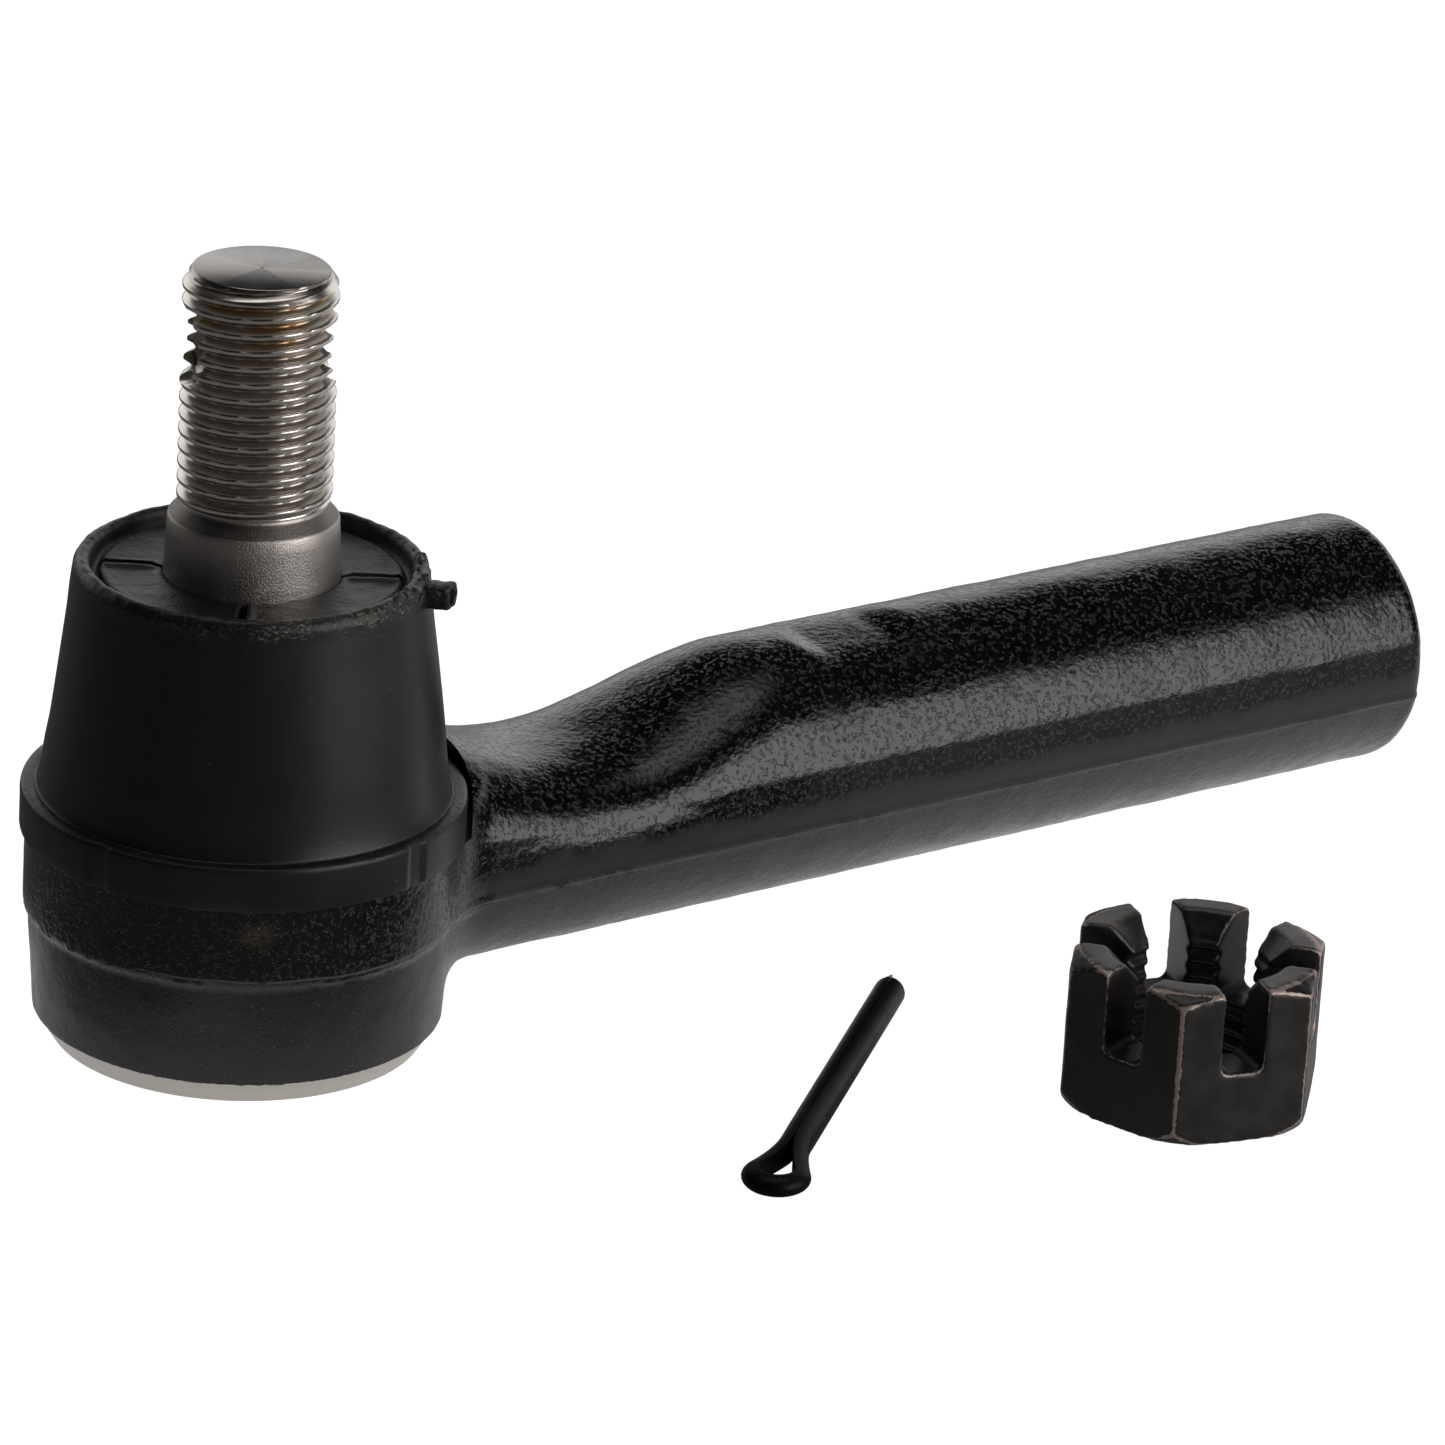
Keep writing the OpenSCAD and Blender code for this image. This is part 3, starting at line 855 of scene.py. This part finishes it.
def boot_rubber():
    """Black rubber: satin wall, leathery disc, pale scuffs round the rim, dust."""
    material, shader, spot = finish("boot_rubber", Specular_IOR_Level=0.45)
    x, y, z = (spot.part(axis) * (1 / MM) for axis in "XYZ")
    r = (x * x + y * y) ** 0.5
    on_disc = z.rise(disc_z - 0.9, disc_z - 0.4) * (1 - r.rise(14.2, 14.6))
    on_rim = z.rise(rim_z - 2.2, rim_z - 0.9) * r.rise(14.2, 14.8)
    ledge = z.rise(band_top - 0.2, band_top - 0.05) * (1 - z.rise(band_top + 0.1, band_top + 0.3))
    front = (x * 0.35 - y).rise(2.0, 14.0)
    chafe = spot.stretched(1, 1, 1.8).grain(0.4 * MM, 5.0, 0.7).rise(0.52, 0.68)
    chafe = chafe * spot.grain(3.5 * MM, 2.0).rise(0.34, 0.5) * on_rim * (front * 0.8 + 0.2)
    edge = spot.grain(0.6 * MM, 4.0, 0.65).rise(0.55, 0.75) * (on_rim + ledge) * 0.25
    dust = spot.grain(0.28 * MM, 1.0).rise(0.74, 0.79) * spot.grain(6 * MM).rise(0.5, 0.64)
    leather = spot.stretched(1, 1, 0.5).grain(0.6 * MM, 5.0, 0.65)
    flow = spot.stretched(1, 1, 0.25).grain(5 * MM, 3.0)
    fine = spot.grain(0.12 * MM, 3.0, 0.6)
    relief = leather * (on_disc * 1.8 + on_rim * 1.0 + ledge * 0.8 + 0.03) + fine * 0.1
    marks = chafe + edge + dust * 0.5
    pale = marks.sum("MINIMUM", marks, 1.0)
    black = flow.rise(0.3, 0.7).between((0.0075, 0.0075, 0.0078, 1), (0.0115, 0.0112, 0.011, 1))
    wire_up(
        shader,
        Base_Color=pale.between(black, (0.26, 0.25, 0.205, 1)),
        Roughness=flow * 0.14 + 0.31 + pale * 0.3 - on_disc * 0.04,
        Normal=relief.node("ShaderNodeBump", Distance=0.09 * MM, Height=relief),
    )
    return material


rubber = boot_rubber()


def boot_piece(name, outline, shaped=None):
    """One moulded length of the boot, bent a little by hand as rubber is."""
    piece = turned(name, outline, boot_sides)
    points = np.empty(len(piece.data.vertices) * 3)
    piece.data.vertices.foreach_get("co", points)
    points = points.reshape(-1, 3) / MM
    sag = [noise.noise(Vector((p[0], p[1], p[2] * 0.6)) / 13.0) for p in points]
    between_rings = step(points[:, 2], 27.0, 30.0) * (1 - step(points[:, 2], 40.0, 43.0))
    away = points * (1, 1, 0) / np.hypot(points[:, 0], points[:, 1])[:, None]
    points += away * (np.array(sag) * between_rings * 0.22)[:, None]
    if shaped:
        points = shaped(points, away)
    piece.data.vertices.foreach_set("co", (points * MM).ravel())
    piece.data.materials.append(rubber)
    piece.data.update()
    return piece


def prism(name, outline, length):
    """A bar of one cross-section that lies along X, its middle at the origin.
    The outline's first number is up and its second is sideways."""
    count = len(outline)
    ends = (-length / 2, length / 2)
    points = [(end, side, up) for end in ends for up, side in outline]
    sides = [(k, (k + 1) % count, count + (k + 1) % count, count + k) for k in range(count)]
    faces = [tuple(range(count - 1, -1, -1)), tuple(range(count, 2 * count))] + sides
    bar = solid(name, points, faces)
    edges = bmesh.new()
    edges.from_mesh(bar.data)
    bmesh.ops.recalc_face_normals(edges, faces=edges.faces)
    edges.to_mesh(bar.data)
    edges.free()
    return bar


def finished_boot(piece):
    """Shades a length of the boot."""
    smoothed(piece, 38)
    return piece


def off_turn(points, turn):
    """How far round each point is from a turn, in radians."""
    angle = np.arctan2(points[:, 1], points[:, 0]) - turn
    return np.abs((angle + np.pi) % (2 * np.pi) - np.pi)


def notched(points, away):
    """Four shallow notches in the band, and a slight waviness round its edge."""
    r = np.hypot(points[:, 0], points[:, 1])
    outer = step(r, base_r - 0.6, base_r - 0.3)
    for turn in notch_turns:
        inside = 1 - step(off_turn(points, turn), math.radians(2.6), math.radians(3.1))
        points = points - away * (inside * outer * 0.22)[:, None]
    ripple = [noise.noise(Vector(p) / 4.0) for p in points]
    return points + away * (np.array(ripple) * outer * 0.08)[:, None]


def ragged_rim(points, away):
    """A torn edge round the rim, worst by the nub, and raised lips along the slits."""
    r = np.hypot(points[:, 0], points[:, 1])
    rim = step(points[:, 2], rim_z - 1.0, rim_z - 0.2) * step(r, 14.3, 14.6)
    tear = np.array([noise.noise(Vector(p) / 1.3) for p in points])
    torn = np.array([noise.noise(Vector(p) / 0.9 + Vector((7, 0, 0))) for p in points])
    by_nub = 1 - step(off_turn(points, nub_turn), math.radians(12), math.radians(34))
    lift = rim * (tear * 0.10 + np.clip(torn, 0, 1) * by_nub * 0.9)
    points = points + away * (rim * torn * (0.08 + 0.25 * by_nub))[:, None]
    disc = step(r, 8.4, 9.0) * (1 - step(r, 13.0, 13.4)) * step(points[:, 2], disc_z - 0.3, disc_z)
    for turn in slit_turns:
        across = off_turn(points, turn) * r
        lift = lift + disc * 0.22 * np.exp(-((across - 0.6) / 0.45) ** 2)
    crease = np.array([noise.noise(Vector(p) / 1.8) for p in points])
    points[:, 2] += lift + disc * crease * 0.07
    return points


ring_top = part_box("boot_core_ring")[1].z / MM
boot_base = boot_piece("dust_boot_base", [
    (base_r - 0.9, boot_seat), (base_r - 0.2, boot_seat), (base_r - 0.04, boot_seat + 0.08),
    (base_r, boot_seat + 0.25), (base_r, boot_seat + 1.2), (base_r, boot_seat + 2.4),
    (base_r, band_top - 0.5), (base_r - 0.03, band_top - 0.22), (base_r - 0.11, band_top - 0.08),
    (base_r - 0.3, band_top), (19.5, band_top + 0.06), (19.1, band_top + 0.08),
    (18.84, band_top + 0.02), (18.74, band_top + 0.08), (18.68, band_top + 0.3),
    (boot_wall(24.4), 24.4), (boot_wall(25.2), 25.2), (boot_wall(wall_low), wall_low),
    (boot_wall(wall_low) - wall_t, wall_low),
    (collar_r + 0.05, collar_top + 0.2), (collar_r + 0.05, ring_top),
    (collar_r + 0.85, ring_top), (collar_r + 0.85, boot_seat + 0.8),
    (base_r - 0.9, boot_seat + 0.8),
], notched)
finished_boot(boot_base)
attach(boot_base, "socket")
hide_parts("boot_base")


def wall_outline(low, high):
    """A length of wall: up its outside and down its inside."""
    heights = np.concatenate([np.arange(low, high - 0.3, 0.4), [high]])
    outside = [(boot_wall(z), z) for z in heights]
    return outside + [(r - wall_t, z) for r, z in reversed(outside)]


lower_wall = finished_boot(boot_piece("dust_boot_lower_wall", wall_outline(wall_low, wall_half)))
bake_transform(lower_wall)
upper_wall = finished_boot(boot_piece("dust_boot_upper_wall", wall_outline(wall_half, crown_low)))
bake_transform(upper_wall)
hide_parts("boot_wall")
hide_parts("boot_wall")

lip_low = disc_z - 3.7
crown_rows = [(boot_wall(z), z) for z in np.linspace(crown_low, rim_z - 0.75, 7)]
crown_rows += [
    (15.72, rim_z - 0.4), (15.55, rim_z - 0.15), (15.3, rim_z - 0.03), (15.05, rim_z),
    (14.8, rim_z - 0.06), (14.6, rim_z - 0.22), (14.47, rim_z - 0.5), (14.4, rim_z - 0.9),
    (14.3, disc_z - 0.35), (14.15, disc_z - 0.55), (13.9, disc_z - 0.64), (13.65, disc_z - 0.55),
    (13.52, disc_z - 0.3), (13.45, disc_z - 0.05), (13.3, disc_z + 0.06), (13.1, disc_z + 0.08),
]
crown_rows += [(r, disc_z) for r in np.arange(12.8, 8.5, -0.35)]
crown_rows += [(lip(disc_z) + 0.3, disc_z - 0.02), (lip(disc_z) + 0.08, disc_z - 0.12)]
crown_rows += [(lip(disc_z), disc_z - 0.3), (lip(lip_low), lip_low), (9.05, lip_low)]
crown_rows += [(9.05, lip_low + 2.02), (10.07, lip_low + 2.02), (10.07, lip_low), (10.7, lip_low)]
crown_rows += [(11.5, 41.9), (12.2, 42.35), (boot_wall(crown_low) - wall_t, crown_low)]
boot_crown = boot_piece("dust_boot_crown", crown_rows, ragged_rim)
for turn in slit_turns:
    tool = prism("slit_tool", [(0.5, -0.5), (0.5, 0.5), (-1.0, 0.08), (-1.0, -0.08)], slit_len)
    bored(boot_crown, placed(tool, turn, slit_x, disc_z))


def nub_shape(p):
    """Distance to the gate nub: a square stub, torn off short with a pit in its end."""
    x, y, z = p.T
    stub = both(np.abs(y) - 1.15, np.abs(z) - 1.15, 0.7)
    stub = both(stub, x - 18.2 - 0.25 * y, 0.3)
    pit = np.sqrt((x - 18.3) ** 2 * 0.6 + y ** 2 + (z + 0.1) ** 2) - 0.75
    return np.maximum(cut(stub, pit, 0.25), 15.0 - x)


points, faces = skin(nub_shape, (14.6, -1.8, -1.8), (19.2, 1.8, 1.8), 0.16)
points = settle(points, nub_shape)
away = slope(nub_shape, points)
points = roughened(points, away, 0.8, 0.12)
nub = placed(solid("nub", points, faces), nub_turn, 0, rim_z - 1.6)
bored(boot_crown, nub, "UNION")
finished_boot(boot_crown)
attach(boot_crown, "crown")
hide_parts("boot_crown")

ring_zinc = thin_finish(
    "ring_zinc", (0.30, 0.30, 0.30, 1), (0.48, 0.47, 0.45, 1), 0.42, 0.3 * MM,
)
dressed("boot_core_ring", ring_zinc)
dressed("boot_lip_ring", ring_zinc)

# -------------------- the slotted nut
# Cold-formed steel, slotted and tapped, then blackened. The finish is rubbed through
# to bare metal along the edges that knock against its neighbours in the box.

nut_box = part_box("castle_nut")
nut_x = (nut_box[0].x + nut_box[1].x) / 2 / MM
nut_y = (nut_box[0].y + nut_box[1].y) / 2 / MM
nut_h = nut_box[1].z / MM
nut_turn = math.radians(46)
nut_af = 22.0
nut_bore_r = 6.19
nut_sink = 2.3
nut_slot_z = 6.8
nut_slot_w = 4.0
nut_soft = 0.5
nut_thread = 0.5
nut_foot_break = 1.2
nut_top_break = 1.7


def nut_shape(p, soft=nut_soft):
    """Distance to the nut about its own axis, its edges broken by about soft."""
    x, y, z = p.T
    r = np.hypot(x, y)
    corner = nut_af / math.sqrt(3)
    flats = [math.radians(30 + 60 * k) for k in range(3)]
    across = [np.abs(x * math.cos(a) + y * math.sin(a)) for a in flats]
    body = across[0] - nut_af / 2
    for reach in across[1:]:
        body = both(body, reach - nut_af / 2, soft)
    top = (r - corner + nut_top_break) * 0.502 + (z - nut_h) * 0.865
    foot = (r - corner + nut_foot_break) * 0.7545 - z * 0.656
    for face in (top, foot, z - nut_h, -z):
        body = both(body, face, soft)
    groove = (z / pitch - np.arctan2(y, x) / (2 * np.pi)) % 1.0
    tooth = step(np.abs(groove * 2 - 1), 0.1, 0.9)
    bore = nut_bore_r + nut_thread * (1 - tooth) - r
    sink = (nut_bore_r + nut_sink - r + z - nut_h) * 0.707
    body = both(both(body, bore, soft * 0.3), sink, soft * 0.6)
    for a in flats:
        aside = np.abs(y * math.cos(a) - x * math.sin(a))
        slot = both(aside - nut_slot_w / 2, nut_slot_z - z, 1.1 if soft else 0.0)
        body = cut(body, slot, soft)
    return body


def sharp_nut(p):
    """The same with hardly broken edges, which shows how deep each edge is worn."""
    return nut_shape(p, 1e-6)


nut_reach = nut_af / math.sqrt(3) + 0.6
points, faces = skin(
    nut_shape, (-nut_reach, -nut_reach, -0.6), (nut_reach, nut_reach, nut_h + 0.6), 0.2,
)
points = settle(points, nut_shape, 3)
wear = np.clip(-sharp_nut(points) / (nut_soft * 0.25), 0, 1)
away = slope(nut_shape, points)
away /= np.maximum(np.linalg.norm(away, axis=1), 1e-6)[:, None]
points = roughened(points, away, 3.0, 0.05)
points = roughened(points, away * wear[:, None], 0.7, 0.12)
castle_nut = solid("slotted_nut", points, faces)
castle_nut.data.transform(
    Matrix.Translation(Vector((nut_x, nut_y, 0)) * MM) @ Matrix.Rotation(nut_turn, 4, "Z")
)
castle_nut.data.attributes.new("wear", "FLOAT", "POINT").data.foreach_set(
    "value", wear.astype(np.float32)
)


def nut_black():
    """Brown-black finish with a dull sheen, rubbed to pinkish bare steel on the edges."""
    material, shader, spot = finish("nut_black", Specular_IOR_Level=0.5)
    worn = spot.node("ShaderNodeAttribute", {"attribute_name": "wear"}, out=2)
    patch = spot.grain(5 * MM, 2.0)
    chip = spot.grain(0.45 * MM, 4.0, 0.65)
    aside_x, aside_y = spot.part("X") - nut_x * MM, spot.part("Y") - nut_y * MM
    knocked = aside_x * math.cos(nut_turn + math.pi) + aside_y * math.sin(nut_turn + math.pi)
    knocked = knocked.rise(11.6 * MM, 12.2 * MM) + aside_x.rise(7 * MM, 10 * MM) * 0.5
    outside = ((aside_x * aside_x + aside_y * aside_y) ** 0.5).rise(8.0 * MM, 9.5 * MM)
    rubbed = worn * 0.9 + chip * 1.1 + patch * 1.1 + knocked * 0.26
    rubbed = rubbed.rise(1.66, 1.78) * outside
    cloud = spot.grain(3 * MM, 4.0)
    fine = spot.grain(0.14 * MM, 2.0)
    dust = spot.grain(0.3 * MM, 1.0).rise(0.75, 0.8) * 0.3
    black = cloud.rise(0.3, 0.7).between((0.007, 0.0062, 0.0055, 1), (0.026, 0.0225, 0.02, 1))
    tops = spot.part("Z").rise((nut_h - 0.25) * MM, (nut_h - 0.1) * MM) * 0.6
    black = tops.between(black, (0.085, 0.077, 0.07, 1))
    black = dust.between(black, (0.2, 0.18, 0.16, 1))
    relief = fine * 0.35 + chip * worn * 1.2 - rubbed * 0.4
    wire_up(
        shader,
        Base_Color=rubbed.between(black, (0.42, 0.34, 0.31, 1)),
        Metallic=rubbed * 0.75,
        Roughness=cloud * 0.2 + 0.25 + rubbed * 0.12,
        Normal=relief.node("ShaderNodeBump", Distance=0.03 * MM, Height=relief),
    )
    return material


castle_nut.data.materials.append(nut_black())
smoothed(castle_nut, 45)
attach(castle_nut, "nut")
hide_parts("castle_nut")

# -------------------- the split pin
# Half-round steel wire, bent round to an eye with its two flats together, one leg cut
# longer and pointed so that the legs can be parted, and blackened.

pin_d = 2.9
pin_step = 2.4
eye_hole = 1.65
eye_x = 22.8
eye_y = -53.0
pin_turn = math.radians(40.6)
pin_reach = 46.3
leg_gap = 0.04
joined_at = 7.2
eye_open = math.radians(70)
eye_flattened = 0.3
long_tip = 3.4
short_tip = 1.3


def leg_points(side, reach, tip):
    """One leg's flat, from its tip to where it meets the eye, with the wire's size."""
    end_x, end_y = eye_hole * math.cos(eye_open), eye_hole * math.sin(eye_open)
    run = joined_at - end_x
    lean = math.tan(math.pi / 2 - eye_open) * run
    points = []
    for t in np.linspace(0, 1, 10):
        pointed = tip > pin_d / 2
        size = 0.16 + 0.84 * (t if pointed else math.sqrt(1 - (1 - t) ** 2))
        points.append((reach - tip * t, side * (leg_gap + (1 - size) * 0.62), size))
    points += [(x, side * leg_gap, 1.0) for x in np.linspace(reach - tip - 1, joined_at, 24)]
    for t in np.linspace(0, 1, 16)[1:]:
        rise = t * t * (3 - 2 * t) * (end_y - leg_gap) + t * t * (t - 1) * lean
        points.append((joined_at - run * t, side * (leg_gap + rise), 1.0))
    return points


def wire_tree():
    """Draws half-round wire along a row of points, its flat on the row."""
    tree = bpy.data.node_groups.new("half_round_wire", "GeometryNodeTree")
    face = tree.interface
    face.new_socket("Geometry", in_out="INPUT", socket_type="NodeSocketGeometry")
    face.new_socket("Radius", in_out="INPUT", socket_type="NodeSocketFloat")
    face.new_socket("Material", in_out="INPUT", socket_type="NodeSocketMaterial")
    face.new_socket("Geometry", in_out="OUTPUT", socket_type="NodeSocketGeometry")
    given = tree.nodes.new("NodeGroupInput")
    row, radius, paint = (Wire(tree, given.outputs[k]) for k in range(3))
    path = row.node("GeometryNodeMeshToCurve", Mesh=row)
    upright = path.node("GeometryNodeSetCurveNormal", {"mode": "Z_UP"}, Curve=path)
    arc = path.node(
        "GeometryNodeCurveArc", {"mode": "RADIUS"}, Resolution=24, Radius=radius,
        Start_Angle=-math.pi / 2, Sweep_Angle=math.pi,
    )
    outline = arc.node("GeometryNodeSetSplineCyclic", Geometry=arc, Cyclic=True)
    size = path.node("GeometryNodeInputNamedAttribute", Name="size")
    drawn = path.node(
        "GeometryNodeCurveToMesh", Curve=upright, Profile_Curve=outline, Scale=size,
        Fill_Caps=True,
    )
    real = drawn.node("GeometryNodeRealizeInstances", Geometry=drawn)
    painted = real.node("GeometryNodeSetMaterial", Geometry=real, Material=paint)
    result = tree.nodes.new("NodeGroupOutput")
    tree.links.new(painted.socket, result.inputs[0])
    return tree


def pin_black():
    """Satin black with a warm cast, fine grain and a few specks of dust."""
    material, shader, spot = finish("pin_black", Specular_IOR_Level=0.12)
    cloud = spot.grain(2.5 * MM, 4.0)
    fine = spot.grain(0.18 * MM, 3.0)
    speck = spot.grain(0.26 * MM, 1.0).rise(0.75, 0.8)
    black = cloud.between((0.004, 0.0033, 0.0028, 1), (0.009, 0.0075, 0.0062, 1))
    wire_up(
        shader,
        Base_Color=speck.between(black, (0.25, 0.24, 0.2, 1)),
        Roughness=cloud * 0.16 + 0.30 + speck * 0.2,
        Normal=fine.node("ShaderNodeBump", Distance=0.02 * MM, Height=fine),
    )
    return material


eye_arc = np.linspace(eye_open, 2 * math.pi - eye_open, 40)
row = leg_points(1, pin_reach, long_tip)
row += [(eye_hole * math.cos(a), eye_hole * math.sin(a), 1.0) for a in eye_arc[1:-1]]
row += leg_points(-1, pin_reach - pin_step, short_tip)[::-1]
row_mesh = bpy.data.meshes.new("split_pin")
row_mesh.from_pydata(
    [(x * MM, y * MM, 0) for x, y, _ in row], [(k, k + 1) for k in range(len(row) - 1)], [],
)
row_mesh.attributes.new("size", "FLOAT", "POINT").data.foreach_set(
    "value", [size for _, _, size in row]
)
split_pin = bpy.data.objects.new("split_pin", row_mesh)
bpy.context.scene.collection.objects.link(split_pin)
shaped_by(split_pin, wire_tree(), Radius=pin_d / 2 * MM, Material=pin_black())
for point in split_pin.data.vertices:
    at_eye = 1 - step(point.co.x / MM, 2.0, joined_at + 1.5)
    point.co.z *= 1 - eye_flattened * at_eye
split_pin.data.transform(
    Matrix.Translation(Vector((eye_x, eye_y, pin_d / 2)) * MM) @ Matrix.Rotation(pin_turn, 4, "Z")
)
smoothed(split_pin, 50)
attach(split_pin, "pin")
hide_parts("cotter_pin")
